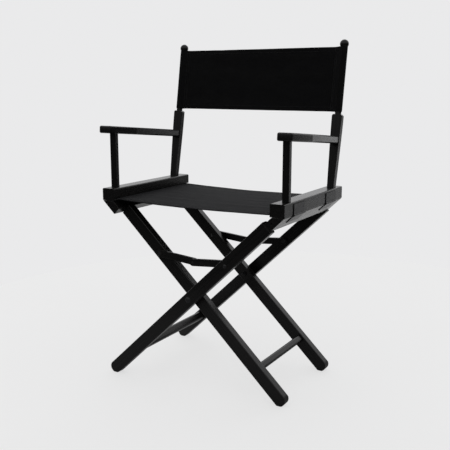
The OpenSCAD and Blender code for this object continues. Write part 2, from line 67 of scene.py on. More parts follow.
# %% Camera
camera_azimuth = math.radians(30.55)
camera_elevation = math.radians(11.33)
camera_distance = 1.8666
camera_target = np.array([-0.005, 0.0025, 0.394])
camera_lens = 56.43

backward = np.array([
    math.sin(camera_azimuth) * math.cos(camera_elevation),
    -math.cos(camera_azimuth) * math.cos(camera_elevation),
    math.sin(camera_elevation)])
camera = bpy.data.objects.new("camera", bpy.data.cameras.new("camera"))
camera.data.sensor_width = 36
camera.data.lens = camera_lens
camera.data.clip_start = 0.01
camera.location = camera_target + camera_distance * backward
camera.rotation_euler = (math.pi / 2 - camera_elevation, 0, camera_azimuth)
bpy.context.scene.collection.objects.link(camera)
bpy.context.scene.camera = camera
print("camera at", [round(v, 3) for v in camera.location])

# %% [markdown]
# ## Shader maths as Python
# A material is a graph of nodes. Wiring them one by one hides the idea, so a small class
# stands for one output socket and overloads the arithmetic. An expression such as
# `0.3 + 0.1 * grain` then adds the Math nodes by itself. Any other node comes from `node`,
# which sets the node's options first and its sockets after, because some sockets exist only
# once the options are chosen.

# %% A socket that does arithmetic
class Wire:
    """One output socket of a node tree. Arithmetic on it adds Math nodes."""

    def __init__(self, tree, socket=None):
        self.tree, self.socket = tree, socket

    def node(self, kind, settings=None, inputs=None, out=0):
        """Adds a node of that type, and returns the wire that leaves its output `out`."""
        made = self.tree.nodes.new(kind)
        for name, value in (settings or {}).items():
            setattr(made, name, value)
        for name, value in (inputs or {}).items():
            if isinstance(value, Wire):
                self.tree.links.new(value.socket, made.inputs[name])
            else:
                made.inputs[name].default_value = value
        return Wire(self.tree, made.outputs[out])

    def math(self, operation, *values):
        return self.node("ShaderNodeMath", {"operation": operation}, dict(enumerate(values)))

    def __add__(self, other): return self.math("ADD", self, other)
    def __radd__(self, other): return self.math("ADD", other, self)
    def __sub__(self, other): return self.math("SUBTRACT", self, other)
    def __rsub__(self, other): return self.math("SUBTRACT", other, self)
    def __mul__(self, other): return self.math("MULTIPLY", self, other)
    def __rmul__(self, other): return self.math("MULTIPLY", other, self)
    def __truediv__(self, other): return self.math("DIVIDE", self, other)

    def sin(self): return self.math("SINE", self)
    def abs(self): return self.math("ABSOLUTE", self)
    def min(self, other): return self.math("MINIMUM", self, other)
    def max(self, other): return self.math("MAXIMUM", self, other)

    def step(self, low, high):
        """Rises smoothly from 0 at `low` to 1 at `high`."""
        return self.node("ShaderNodeMapRange", {"interpolation_type": "SMOOTHSTEP"},
                         {"Value": self, "From Min": low, "From Max": high})

    def along(self, direction):
        """The part of a vector that points along a direction of length one."""
        return self.node("ShaderNodeVectorMath", {"operation": "DOT_PRODUCT"},
                         {0: self, 1: direction}, out="Value")

    def mix(self, low, high):
        """A colour between two colours, this wire being the share of the second."""
        return self.node("ShaderNodeMix", {"data_type": "RGBA"},
                         {"Factor": self, 6: low, 7: high}, out=2)


def vector(x, y, z):
    return x.node("ShaderNodeCombineXYZ", None, {0: x, 1: y, 2: z})


def noise(at, scale=1.0, detail=3.0, roughness=0.55):
    """Smooth random values between 0 and 1 at a vector."""
    return at.node("ShaderNodeTexNoise", None,
                   {"Vector": at, "Scale": scale, "Detail": detail, "Roughness": roughness})


def material(name, build, constants):
    """A material whose Principled shader takes `constants`, and the wires `build` returns."""
    made = bpy.data.materials.new(name)
    made.use_nodes = True
    tree = made.node_tree
    shader = next(n for n in tree.nodes if n.type == "BSDF_PRINCIPLED")
    for socket, value in constants.items():
        shader.inputs[socket].default_value = value
    for socket, wire in build(Wire(tree)).items():
        tree.links.new(wire.socket, shader.inputs[socket])
    print("finish", name, len(tree.nodes), "nodes")
    return made


def bump(height, distance, normal=None):
    """A normal tilted by a height field of 0 to 1, whose full step is `distance` metres."""
    inputs = {"Height": height, "Distance": distance}
    if normal is not None:
        inputs["Normal"] = normal
    return height.node("ShaderNodeBump", None, inputs)


def eased_edge(wire, radius):
    """The normal rounded over each edge, and how far it leans from the true one: 0 on a
    flat face, and up to about 0.3 on a square edge."""
    eased = wire.node("ShaderNodeBevel", {"samples": 6}, {"Radius": radius})
    true = wire.node("ShaderNodeNewGeometry", out="Normal")
    return eased, 1 - eased.along(true)


print("shader helpers ready")

# %% [markdown]
# ## Black lacquered wood
# The frame is hardwood with a black lacquer. The lacquer levels itself to a satin gloss, but
# the grain below it still shows as long, shallow streaks and short pores. Both follow the
# length of each piece, so the pattern is stretched along a direction given for that piece.
# Wood is never sharp at its edges: a Bevel node bends the normal there, as sanding does, and
# the same bend tells where a faint brown is painted along the edges, broken up by noise: a
# painted highlight that lightens them. There the lacquer is also made a little rougher.

# %% Lacquered wood
def lacquered_wood(name, direction):
    """Noise drawn out ten to twenty times along `direction` makes streaks and pores."""
    d = np.array(direction, float)
    d /= np.linalg.norm(d)
    side = np.cross(d, [0, 1, 0] if abs(d[1]) < 0.9 else [1, 0, 0])
    side /= np.linalg.norm(side)
    third = np.cross(d, side)

    def build(wire):
        at = wire.node("ShaderNodeTexCoord", out="Object")
        length, across, depth = (at.along(tuple(v)) for v in (d, side, third))
        streaks = noise(vector(length * 9, across * 190, depth * 190), detail=4)
        fine = noise(vector(length * 130, across * 1500, depth * 1500), detail=1)
        pores = fine.step(0.62, 0.72)
        level = noise(at, scale=55, detail=2)
        eased, bend = eased_edge(wire, 0.0013)
        # A faint brown (0.060, 0.048, 0.038) painted along the edges and broken up by noise is a
        # painted highlight; the same mask makes the lacquer a little rougher there.
        edge_highlight = bend.step(0.03, 0.22) * noise(at, scale=160, detail=3).step(0.42, 0.66)
        colour = streaks.step(0.3, 0.75).mix((0.0048, 0.0046, 0.0046, 1),
                                             (0.0090, 0.0083, 0.0080, 1))
        wear_and_edge_highlight = (edge_highlight * 0.8).mix((0, 0, 0, 1), (0.060, 0.048, 0.038, 1))
        both = wire.node("ShaderNodeMix", {"data_type": "RGBA", "blend_type": "ADD"},
                         {"Factor": 1.0, 6: colour, 7: wear_and_edge_highlight}, out=2)
        gloss = 0.20 + 0.15 * streaks + 0.10 * edge_highlight + 0.06 * pores
        height = level * 0.5 + streaks * 0.35 - pores * 0.3
        return {"Base Color": both, "Roughness": gloss, "Normal": bump(height, 0.00015, eased)}

    return material(name, build, {"IOR": 1.48, "Specular IOR Level": 0.42})

# %% [markdown]
# Each piece of wood has its own grain direction, because it is sawn along the grain for
# strength. Rails, stretchers and armrests run from front to back. The legs climb at the lean
# of the cross, the back posts at their rake, and the brace links dip a little towards the
# middle of the chair.

# %% Grain directions
lean = math.radians(43.554)
rake = math.radians(9.4)
dip = math.radians(4.9)
grain = {
    "lacquer_up_right": (math.cos(lean), 0, math.sin(lean)),
    "lacquer_up_left": (-math.cos(lean), 0, math.sin(lean)),
    "lacquer_lengthwise": (0, 1, 0),
    "lacquer_upright": (0, 0, 1),
    "lacquer_raked": (0, math.sin(rake), math.cos(rake)),
    "lacquer_link_right": (math.cos(dip), 0, -math.sin(dip)),
    "lacquer_link_left": (math.cos(dip), 0, math.sin(dip)),
}
lacquers = {name: lacquered_wood(name, direction) for name, direction in grain.items()}

# %% [markdown]
# ## Painted steel
# Bolts, rivets, hinges and screws are steel with a thin satin black paint. Sprayed paint has
# a very fine orange peel, and it wears to bare metal first on edges and on the knuckles.

# %% Painted steel
def painted_steel(wire):
    """Satin black paint, worn to bare metal on the edges."""
    at = wire.node("ShaderNodeTexCoord", out="Object")
    eased, bend = eased_edge(wire, 0.0004)
    wear_and_edge_highlight = bend.step(0.05, 0.25) * noise(at, scale=420, detail=3).step(0.5, 0.64)
    peel = noise(at, scale=1400, detail=2)
    smudge = noise(at, scale=60, detail=3)
    return {"Base Color": wear_and_edge_highlight.mix((0.014, 0.014, 0.015, 1), (0.19, 0.185, 0.18, 1)),
            "Roughness": 0.33 + 0.12 * smudge - 0.06 * wear_and_edge_highlight,
            "Metallic": wear_and_edge_highlight * 0.9,
            "Normal": bump(peel, 0.00004, eased)}


steel = material("painted_steel", painted_steel, {"IOR": 1.5, "Specular IOR Level": 0.45})

# %% [markdown]
# ## Plain dowel
# The rods inside the seat hems are bare hardwood. They only show at their rear ends.

# %% Bare wood
def bare_wood(wire):
    """Pale wood with streaks that run along Y, the length of the rods."""
    at = wire.node("ShaderNodeTexCoord", out="Object")
    x, y, z = (at.along(v) for v in ((1, 0, 0), (0, 1, 0), (0, 0, 1)))
    streaks = noise(vector(x * 1100, y * 25, z * 1100), detail=3)
    colour = streaks.step(0.25, 0.8).mix((0.42, 0.27, 0.15, 1), (0.26, 0.15, 0.075, 1))
    return {"Base Color": colour,
            "Roughness": 0.55 + 0.15 * streaks,
            "Normal": bump(streaks, 0.00006)}


dowel = material("bare_dowel", bare_wood, {})

# %% [markdown]
# ## Canvas
# Director chairs use a heavy cotton duck, a plain weave with about fourteen threads to the
# centimetre each way. The pattern follows the cloth's own UV map, which is laid out in metres
# along the two thread directions. Sines of both make the over and under of the weave, noise
# makes thread and dye uneven, and the row of stitches pulls a shallow groove beside each hem.

# %% Canvas
thread_pitch = 0.00072


def canvas(name, dark, light):
    """Plain weave: the product of two sines, one for each set of threads."""
    def build(wire):
        uv = wire.node("ShaderNodeUVMap", {"uv_map": "cloth"})
        groove = wire.node("ShaderNodeAttribute", {"attribute_name": "groove"}, out="Fac")
        u, v = uv.along((1, 0, 0)), uv.along((0, 1, 0))
        warp = noise(vector(u * 900, v * 18, u * 0), detail=2)
        weft = noise(vector(u * 18, v * 900, u * 0), detail=2)
        over = (u * (math.pi / thread_pitch)).sin() * (v * (math.pi / thread_pitch)).sin()
        weave = 0.5 + 0.5 * over
        slub = warp * 0.5 + weft * 0.5
        dye = noise(uv, scale=26, detail=4)
        # The colour follows the weave's height: thread tops lighter and the dips between threads
        # darker, a painted shade. Slubs and dye are the thread's own uneven tone.
        shade = 0.30 * weave + 0.45 * slub + 0.35 * dye - 0.05
        fuzz = noise(uv, scale=5200, detail=2)
        height = weave * 0.6 + slub * 0.5 + fuzz * 0.2 - groove * 2.2
        return {"Base Color": shade.step(0.15, 0.95).mix((*dark, 1), (*light, 1)),
                "Roughness": 0.80 + 0.14 * slub,
                "Normal": bump(height, 0.00028)}

    return material(name, build, {"Specular IOR Level": 0.10, "Sheen Weight": 0.04,
                                  "Sheen Roughness": 0.45, "Sheen Tint": (0.8, 0.82, 0.86, 1)})


# Seat and back are the same black duck. The back's colours are painted darker, a painted shade,
# and the seat's lighter, painted light from above: lit and shaded copies of one cloth.
seat_canvas_painted_light = canvas("seat_duck_painted_light", (0.0070, 0.0070, 0.0076), (0.020, 0.020, 0.0215))
back_canvas_painted_shade = canvas("back_duck_painted_shade", (0.0044, 0.0044, 0.0047), (0.0115, 0.0115, 0.0123))


def thread_finish(wire):
    """Twisted black thread: a fine noise stands for the twist."""
    at = wire.node("ShaderNodeTexCoord", out="Object")
    twist = noise(at, scale=2600, detail=2)
    return {"Base Color": twist.mix((0.012, 0.012, 0.013, 1), (0.05, 0.05, 0.052, 1)),
            "Roughness": 0.5 + 0.2 * twist, "Normal": bump(twist, 0.0001)}


thread = material("sewing_thread", thread_finish, {"Specular IOR Level": 0.35})

# %% [markdown]
# ## Dress the CAD nodes
# Every CAD node keeps its shape, and its material slot now points at one of the finishes.
# The first words of a node's name tell which piece it is, and whatever is neither wood nor
# canvas is steel.

# %% Finishes on CAD nodes
def finish_for(node):
    """Picks a finish by the kind of piece and, for wood, by the way its grain runs."""
    if node.startswith("leg_outer"):
        return lacquers["lacquer_up_right"]
    if node.startswith("leg_inner"):
        return lacquers["lacquer_up_left"]
    if node.startswith(("seat_rail", "lower_rail", "armrest", "foot_stretcher")):
        return lacquers["lacquer_lengthwise"]
    if node.startswith("front_post"):
        return lacquers["lacquer_upright"]
    if node.startswith("back_post"):
        return lacquers["lacquer_raked"]
    if node.startswith("brace_link"):
        return lacquers["lacquer_link_left" if node.endswith("outer") else "lacquer_link_right"]
    if node.startswith("seat_rod"):
        return dowel
    if node.startswith("seat_"):
        return seat_canvas_painted_light
    if node.startswith("back_"):
        return back_canvas_painted_shade
    return steel


for name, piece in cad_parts.items():
    for slot in piece.material_slots:
        slot.material = finish_for(name)
print(len(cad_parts), "CAD nodes dressed")

# %% [markdown]
# ## Surfaces from arrays
# A new piece is a grid of points worked out by a formula, one axis of the array for each of
# the surface's two parameters. Neighbours in the grid become the corners of a face. A closed
# direction joins its last row to its first, and a capped one fills each end with one face.

# %% Make a mesh from a grid of points
def grid_faces(rows, columns, close_rows=False, close_columns=False):
    """Each face joins four neighbours; a closed direction wraps round by the remainder."""
    i = np.arange(rows if close_rows else rows - 1)[:, None]
    j = np.arange(columns if close_columns else columns - 1)[None, :]
    a, b = i * columns + j, i * columns + (j + 1) % columns
    c = ((i + 1) % rows) * columns + (j + 1) % columns
    d = ((i + 1) % rows) * columns + j
    return np.stack([a, d, c, b], axis=-1).reshape(-1, 4)


def build_piece(name, points, faces, finish, uv=None, attributes=None):
    """A smooth mesh object at the origin, with an optional UV map and point attributes."""
    mesh = bpy.data.meshes.new(name)
    mesh.from_pydata(points.reshape(-1, 3).tolist(), [], [list(map(int, f)) for f in faces])
    mesh.polygons.foreach_set("use_smooth", np.ones(len(mesh.polygons), bool))
    if uv is not None:
        layer = mesh.uv_layers.new(name="cloth")
        index = np.empty(len(mesh.loops), np.int32)
        mesh.loops.foreach_get("vertex_index", index)
        layer.data.foreach_set("uv", uv.reshape(-1, 2)[index].ravel())
    for key, values in (attributes or {}).items():
        mesh.attributes.new(key, "FLOAT", "POINT").data.foreach_set(
            "value", values.astype(np.float32).ravel())
    mesh.materials.append(finish)
    mesh.update()
    piece = bpy.data.objects.new(name, mesh)
    bpy.context.scene.collection.objects.link(piece)
    return piece


def grid_normals(grid):
    """Cross product of the two directions in which neighbours lie, made unit long."""
    n = np.cross(np.gradient(grid, axis=0), np.gradient(grid, axis=1))
    return n / np.linalg.norm(n, axis=-1, keepdims=True)


print("surface helpers ready")

# %% [markdown]
# ## Armrests
# An armrest is a paddle: narrow at the front end, widest a hand's width further back, then
# tapering to the back post. A maker saws the outline and runs a round-over cutter along both
# faces. The same two steps make the surface: an outline with rounded corners, and a profile
# that carries it round the edge. The rear end slopes, to meet the leaning back post.

# %% Armrest sizes and rounded outline
arm_front, arm_l = -0.032, 0.268
arm_widest = arm_front + 0.100
arm_half = {"front": 0.0185, "wide": 0.0235, "back": 0.011}
arm_rise, arm_t = 0.137, 0.019
arm_fall = math.radians(5)
edge_r = 0.0042
end_setback, end_slope = 0.0028, 0.218


def rounded_outline(corners, radii, steps=9):
    """Replaces each corner by an arc that touches both of its sides. The arc's centre lies on
    the line that halves the corner, at the radius over the sine of half the corner's angle."""
    p = np.array(corners, float)
    before, after = np.roll(p, 1, axis=0) - p, np.roll(p, -1, axis=0) - p
    u = before / np.linalg.norm(before, axis=1, keepdims=True)
    v = after / np.linalg.norm(after, axis=1, keepdims=True)
    half = np.arccos(np.clip((u * v).sum(1), -1, 1)) / 2
    r = np.array(radii, float)
    halving = (u + v) / np.linalg.norm(u + v, axis=1, keepdims=True)
    centre = p + halving * (r / np.sin(half))[:, None]
    start = p + u * (r / np.tan(half))[:, None] - centre
    end = p + v * (r / np.tan(half))[:, None] - centre
    a0 = np.arctan2(start[:, 1], start[:, 0])
    turn = (np.arctan2(end[:, 1], end[:, 0]) - a0 + math.pi) % (2 * math.pi) - math.pi
    angle = a0[:, None] + turn[:, None] * np.linspace(0, 1, steps)[None, :]
    arc = centre[:, None] + r[:, None, None] * np.stack([np.cos(angle), np.sin(angle)], -1)
    return arc.reshape(-1, 2)


print("armrest", round(arm_l - arm_front, 3), "long,", arm_t, "thick")

# %% [markdown]
# Lengths along the armrest are measured from the middle of its front post, on which it rests.
# A back post stands a little further in than the middle of its armrest, so the narrow end of
# the outline is shifted sideways to meet it.

# %% Armrest slab and its place
def armrest_slab(shift):
    """Rings of the outline, stepped inwards by the edge radius times one minus a sine while
    their height grows with one minus a cosine: round the lower edge, up the side and round
    the upper edge."""
    front, wide, back = arm_half["front"], arm_half["wide"], arm_half["back"]
    outline = rounded_outline(
        [(-front, arm_front), (front, arm_front), (wide, arm_widest), (back - shift, arm_l),
         (-back - shift, arm_l), (-wide, arm_widest)],
        [0.007, 0.007, 0.030, 0.0005, 0.0005, 0.030])
    step = np.roll(outline, -1, axis=0) - np.roll(outline, 1, axis=0)
    outward = np.stack([step[:, 1], -step[:, 0]], -1)
    outward /= np.linalg.norm(outward, axis=1, keepdims=True) + 1e-12
    angle = np.linspace(0, math.pi / 2, 6)
    inset = edge_r * (1 - np.sin(angle))
    drop = edge_r * (1 - np.cos(angle))
    insets = np.concatenate([inset, inset[::-1]])
    heights = np.concatenate([drop, arm_t - drop[::-1]])
    rim = outline[None] - insets[:, None, None] * outward[None]
    levels = np.broadcast_to(heights[:, None, None], rim.shape[:2] + (1,))
    return np.concatenate([rim, levels], -1)


def middle(name):
    """The middle of a node's box."""
    low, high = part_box(name)
    return (np.array(low) + np.array(high)) / 2


def armrest(word):
    """The slab is stretched so that its back end slopes towards the back post: depth grows
    with height there, and not at all at the front. Then it is turned down by the fall of the
    armrest and set on its front post."""
    node = f"armrest_{word}"
    arm_x = middle(node)[0]
    post_y = middle(f"front_post_{word}")[1]
    underside_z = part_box("seat_rail_right")[1].z + arm_rise
    slab = armrest_slab(arm_x - middle(f"back_sleeve_{word}")[0])
    x, flat_y, z = slab[..., 0], slab[..., 1], slab[..., 2]
    end_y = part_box(node)[1].y - end_setback - post_y + z * end_slope
    share = (flat_y - arm_front) / (arm_l - arm_front)
    y = arm_front + share * (end_y - arm_front)
    c, s = math.cos(arm_fall), math.sin(arm_fall)
    points = np.stack([arm_x + x, post_y + y * c + z * s, underside_z - y * s + z * c], -1)
    rows, columns = points.shape[:2]
    ring = np.arange(columns)
    sides = grid_faces(rows, columns, close_columns=True)[:, ::-1]
    faces = [*sides, ring[::-1], ring + (rows - 1) * columns]
    return build_piece(f"{node}_shaped", points, faces, lacquers["lacquer_lengthwise"])


for word in ("left", "right"):
    piece = armrest(word)
    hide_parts(f"armrest_{word}")
    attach(piece, f"{word}_side")
    low, high = (np.array(piece.bound_box)[k] for k in (0, 6))
    print(piece.name, "spans", low.round(4), "to", high.round(4))

# %% [markdown]
# ## Letting cloth settle
# Canvas held between two rails is nearly flat, but it has weight and a little slack, so it
# hangs in a shallow curve and ripples where it is gathered on its rods. Blender's Cloth
# solver finds that shape. The grid starts flat but for faint ripples, the two held edges are
# pinned, the cloth is cut a touch larger than the gap, and some frames of gravity let it come
# to rest.

# %% Cloth at rest
upwards = np.array([0, 0, 1.0])
cloth_weight, least_weight = 0.45, 0.0006
stiffness = 35


def settle(grid, slack, frames):
    """The grid's first and last rows stay where they are, and the rest hangs between them."""
    rows, columns = grid.shape[:2]
    faces = grid_faces(rows, columns)
    piece = build_piece("settling_cloth", grid, faces, seat_canvas_painted_light)
    held = piece.vertex_groups.new(name="held")
    first = list(range(columns))
    last = list(range((rows - 1) * columns, rows * columns))
    held.add(first + last, 1.0, "REPLACE")
    cloth = piece.modifiers.new("Cloth", "CLOTH")
    cloth.settings.quality = 10
    cloth.settings.mass = cloth_weight / (rows * columns) + least_weight
    cloth.settings.tension_stiffness = stiffness
    cloth.settings.compression_stiffness = stiffness
    cloth.settings.shear_stiffness = 12
    cloth.settings.bending_stiffness = 0.6
    cloth.settings.air_damping = 4
    cloth.settings.vertex_group_mass = "held"
    cloth.settings.shrink_min = -slack
    cloth.collision_settings.use_collision = False
    cloth.point_cache.frame_start = 1
    cloth.point_cache.frame_end = frames
    scene = bpy.context.scene
    for number in range(1, frames + 1):
        scene.frame_set(number)
    settled = piece.evaluated_get(bpy.context.evaluated_depsgraph_get()).to_mesh()
    out = np.empty(len(settled.vertices) * 3)
    settled.vertices.foreach_get("co", out)
    piece.modifiers.remove(cloth)
    bpy.data.objects.remove(piece)
    scene.frame_set(1)
    return out.reshape(grid.shape)


print("cloth hangs by", "the cloth solver")

# %% [markdown]
# ## Folded edges
# The free edges of the seat and of the back are hemmed: the last centimetre is folded under
# and stitched down. The fold is made from the cloth's own edge row. A half turn carries it
# round to the other face, and a strip then runs back beneath the cloth, one thickness away.

# %% Fold both free edges under
cloth_t = 0.0012
hem_w = 0.012


def folded_edges(grid, spacing, thickness=cloth_t, width=hem_w, turn_steps=5, back_steps=3):
    """Rows beyond each free edge follow a half circle, then run back under the cloth."""
    n = grid_normals(grid)
    radius = thickness * 0.54

    def one_edge(at, inward):
        edge, up = grid[:, at], n[:, at]
        out = edge - grid[:, at + inward]
        out /= np.linalg.norm(out, axis=-1, keepdims=True)
        angle = np.linspace(0, math.pi, turn_steps + 1)[1:]
        turn = (edge[:, None] + out[:, None] * (radius * np.sin(angle))[None, :, None]
                - up[:, None] * (radius * (1 - np.cos(angle)))[None, :, None])
        steps = np.linspace(0, width, back_steps + 1)[1:] / spacing
        whole, part = np.floor(steps).astype(int), (steps % 1)[None, :, None]
        a = grid[:, at + inward * whole]
        b = grid[:, at + inward * (whole + 1)]
        up_a = n[:, at + inward * whole]
        return np.concatenate([turn, a * (1 - part) + b * part - 2 * radius * up_a], axis=1)

    return np.concatenate([one_edge(0, 1)[:, ::-1], grid, one_edge(-1, -1)], axis=1)


def arc_length(grid, axis):
    """Distance from the first row, added up along one direction of the grid."""
    step = np.linalg.norm(np.diff(grid, axis=axis), axis=-1)
    total = np.cumsum(step, axis=axis)
    start = np.zeros_like(np.take(total, [0], axis=axis))
    return np.concatenate([start, total], axis=axis)


def cloth_piece(name, grid, finish, groove=None, thickness=cloth_t, levels=1):
    """A thick sheet over the grid: UVs are lengths along the cloth, then a solid thickness."""
    uv = np.stack([arc_length(grid, 0), arc_length(grid, 1)], -1)
    rows, columns = grid.shape[:2]
    groove = np.zeros((rows, columns)) if groove is None else groove
    piece = build_piece(name, grid, grid_faces(rows, columns), finish, uv, {"groove": groove})
    if levels:
        smooth = piece.modifiers.new("Smooth", "SUBSURF")
        smooth.levels = smooth.render_levels = levels
        smooth.boundary_smooth = "PRESERVE_CORNERS"
    thick = piece.modifiers.new("Thickness", "SOLIDIFY")
    thick.thickness = thickness
    thick.offset = 0
    return piece


print("hems are", hem_w, "wide in cloth", cloth_t, "thick")

# %% [markdown]
# ## Seat
# The seat is one sheet that leaves a slot in each rail, a little above the rail's underside.
# Only the part between the slots shows. It is gathered slightly on its rods, so a few soft
# ripples run across it from rail to rail and fade towards the middle.

# %% Seat sheet
seat_low, seat_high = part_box("seat_panel")
rail_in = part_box("seat_rail_right")[0].x
seat_z = (seat_low.z + seat_high.z) / 2
slot_depth = 0.0012
seat_rows, seat_columns = 73, 53


def seat_grid():
    """Flat between the slots: x from rail to rail, y from front to back."""
    x = np.linspace(-rail_in - slot_depth, rail_in + slot_depth, seat_rows)[:, None]
    y = np.linspace(seat_low.y, seat_high.y, seat_columns)[None, :]
    return np.stack(np.broadcast_arrays(x, y, seat_z), -1)


def ripples(u, v, phase):
    """Sines of different lengths across the cloth, strongest near the two held edges."""
    wave = (0.50 * np.sin(2 * math.pi * 4.2 * v + 0.7 + phase + 0.6 * np.sin(2.2 * u))
            + 0.32 * np.sin(2 * math.pi * 7.3 * v + 2.1 - phase + 0.9 * u)
            + 0.18 * np.sin(2 * math.pi * 11.6 * v + 0.3 + 1.7 * u))
    held = 1 - (1 - np.abs(u)) ** 2
    return wave * (0.35 + 0.65 * held) * (1 - np.abs(u) ** 8)


settle_frames = 40
seat_u = np.linspace(-1, 1, seat_rows)[:, None]
seat_v = np.linspace(0, 1, seat_columns)[None, :]
seat_ripples = ripples(seat_u, seat_v, 0.0)
seat_start = seat_grid() + upwards * (seat_ripples * 0.0010)[..., None]
seat_rest = settle(seat_start, slack=0.0002, frames=settle_frames)
seat_rest[..., 2] += seat_ripples * 0.0005
print("seat sags", round((seat_z - seat_rest[..., 2].min()) * 1000, 1), "mm")

# %% Seat hem, groove and piece
stitch_inset = 0.0095
groove_share = 0.35


def stitch_groove(full, columns, spacing):
    """A bell curve across each line of stitches, and 0 on the rows that are folded under."""
    at = np.arange(columns) * spacing
    line = np.exp(-((np.minimum(at, at[-1] - at) - stitch_inset) / (0.55 * spacing)) ** 2)
    folded = np.zeros((full.shape[1] - columns) // 2)
    row = np.concatenate([folded, line, folded])
    return np.broadcast_to(row, full.shape[:2]) * groove_share


seat_spacing = (seat_high.y - seat_low.y) / (seat_columns - 1)
seat_full = folded_edges(seat_rest, seat_spacing)
seat_groove = stitch_groove(seat_full, seat_columns, seat_spacing)
seat = cloth_piece("seat_canvas_sheet", seat_full, seat_canvas_painted_light, seat_groove)
print("seat grid", seat_full.shape)

# %% [markdown]
# ## Seat hems
# Inside each rail the cloth is sewn into a loop round a rod. The loop shows at the rear end
# of the rail, where the channel is open, so it is a real loop of cloth with its rod in it.

# %% Loops round the rods
def hem_loop(side):
    """In XZ: a flat lead-in from the slot, then most of a turn round the rod."""
    low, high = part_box("seat_rod_right" if side > 0 else "seat_rod_left")
    cx, cz = (low.x + high.x) / 2 * side, (low.z + high.z) / 2
    radius = (high.z - low.z) / 2 + 0.0001 + cloth_t / 2
    start = math.asin((seat_z - cz) / radius)
    angle = np.linspace(start, start + math.radians(318), 33)
    loop_x, loop_z = cx - radius * np.cos(angle), cz + radius * np.sin(angle)
    lead = np.linspace(rail_in + slot_depth, loop_x[0], 5)[:-1]
    x = np.concatenate([lead, loop_x]) * side
    z = np.concatenate([np.full(len(lead), seat_z), loop_z])
    y = np.linspace(seat_low.y + 0.0005, seat_high.y - 0.0005, 42)
    return np.stack(np.broadcast_arrays(x[:, None], y[None], z[:, None]), -1)


for side, word in ((-1, "left"), (1, "right")):
    hem = cloth_piece(f"seat_hem_loop_{word}", hem_loop(side), seat_canvas_painted_light, levels=0)
    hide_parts(f"seat_hem_{word}")
    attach(hem, f"{word}_side")
    print("hem made:", hem.name)

# %% [markdown]
# ## Back
# The back cover is one strip of canvas with a sleeve at each end. A sleeve wraps the turned
# top of a back post: the cloth comes to the dowel in front, goes round its outer side and
# returns behind, where it is sewn down. Seen from above the sleeve is a drop shape, a circle
# with two straight sides that meet at the seam. The cover leans back with the posts, so it is
# drawn in the post's own axes and then tilted by the rake.

# %% Axes of a back post
ball_up, ball_r = 0.367, 0.0115
sleeve_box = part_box("back_sleeve_right")
post_foot = np.array([(sleeve_box[0].x + sleeve_box[1].x) / 2,
                      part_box("back_post_right")[1].y - ball_up * math.sin(rake) - ball_r,
                      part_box("seat_rail_right")[1].z])
print("back post stands at", post_foot.round(4))


def on_post(local):
    """Tilts local points (x, depth, height along the post) back by the rake."""
    c, s = math.cos(rake), math.sin(rake)
    return np.stack([local[..., 0],
                     post_foot[1] + local[..., 1] * c + local[..., 2] * s,
                     post_foot[2] - local[..., 1] * s + local[..., 2] * c], -1)

# %% Sleeve profile and the sheet between the sleeves
sleeve_low, sleeve_high = 0.196, 0.359
dowel_r = 0.00825
seam_in = 0.0225
sleeve_r = dowel_r + 0.0003 + cloth_t / 2
front_layer = -cloth_t * 0.52
back_rows, back_columns = 71, 27
heights = np.linspace(sleeve_low, sleeve_high, back_columns)


def sleeve_profile():
    """Drop shape round the origin, X towards the chair's middle: the tangent from the seam
    meets the circle where the cosine of the angle is radius over distance."""
    touch = math.acos(sleeve_r / seam_in)
    angle = np.linspace(touch, 2 * math.pi - touch, 29)
    circle = np.stack([sleeve_r * np.cos(angle), -sleeve_r * np.sin(angle)], -1)
    t = np.linspace(0, 1, 6)[:-1, None]
    seam_front, seam_rear = np.array([seam_in, front_layer]), np.array([seam_in, -front_layer])
    lead_in = seam_front * (1 - t) + circle[0] * t
    lead_out = (seam_rear * (1 - t) + circle[-1] * t)[::-1]
    tail = seam_rear + np.array([[0.003, 0.0]])
    return np.concatenate([lead_in, circle, lead_out, tail])


def sleeve_grid(side):
    """The drop shape repeated up the post, on the left side (-1) or the right one (1)."""
    profile = sleeve_profile()
    x = side * (post_foot[0] - profile[:, 0])
    return on_post(np.stack(
        np.broadcast_arrays(x[:, None], profile[:, None, 1], heights[None]), -1))


def back_grid():
    """Flat between the two seams, in the plane of the sleeves' front layer."""
    x = np.linspace(-post_foot[0] + seam_in, post_foot[0] - seam_in, back_rows)[:, None]
    return on_post(np.stack(np.broadcast_arrays(x, front_layer, heights[None]), -1))


print("sleeves are", round(sleeve_high - sleeve_low, 3), "tall")

# %% Back sheet
back_u = np.linspace(-1, 1, back_rows)[:, None]
back_v = np.linspace(0, 1, back_columns)[None, :]
lean_out = np.array([0, -math.cos(rake), math.sin(rake)])
back_ripples = ripples(back_u, back_v * 0.5, 1.3)
back_start = back_grid() + lean_out * (back_ripples * 0.0008)[..., None]
back_rest = settle(back_start, slack=0.0006, frames=settle_frames)
back_rest = back_rest + lean_out * (back_ripples * 0.0004)[..., None]
back_spacing = (sleeve_high - sleeve_low) / (back_columns - 1)
back_full = folded_edges(back_rest, back_spacing)
back_groove = stitch_groove(back_full, back_columns, back_spacing)
back = cloth_piece("back_canvas_sheet", back_full, back_canvas_painted_shade, back_groove)
print("back grid", back_full.shape, "moves", np.abs(back_rest - back_grid()).max().round(4))

# %% Sleeves
for side, word in ((-1, "left"), (1, "right")):
    sleeve = cloth_piece(f"back_sleeve_cloth_{word}",
                         folded_edges(sleeve_grid(side)[::side], back_spacing), back_canvas_painted_shade)
    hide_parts(f"back_sleeve_{word}")
    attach(sleeve, f"{word}_side")
    print("sleeve made:", sleeve.name)

# %% [markdown]
# ## Stitches
# A sewing machine leaves a row of short, slightly arched threads, a few millimetres each.
# There are hundreds of them, so one stitch has only about two dozen faces: a hexagonal tube
# that narrows at its ends and dips into the cloth. A row is placed at once, each stitch with
# its own direction, which comes from its neighbours in the row.

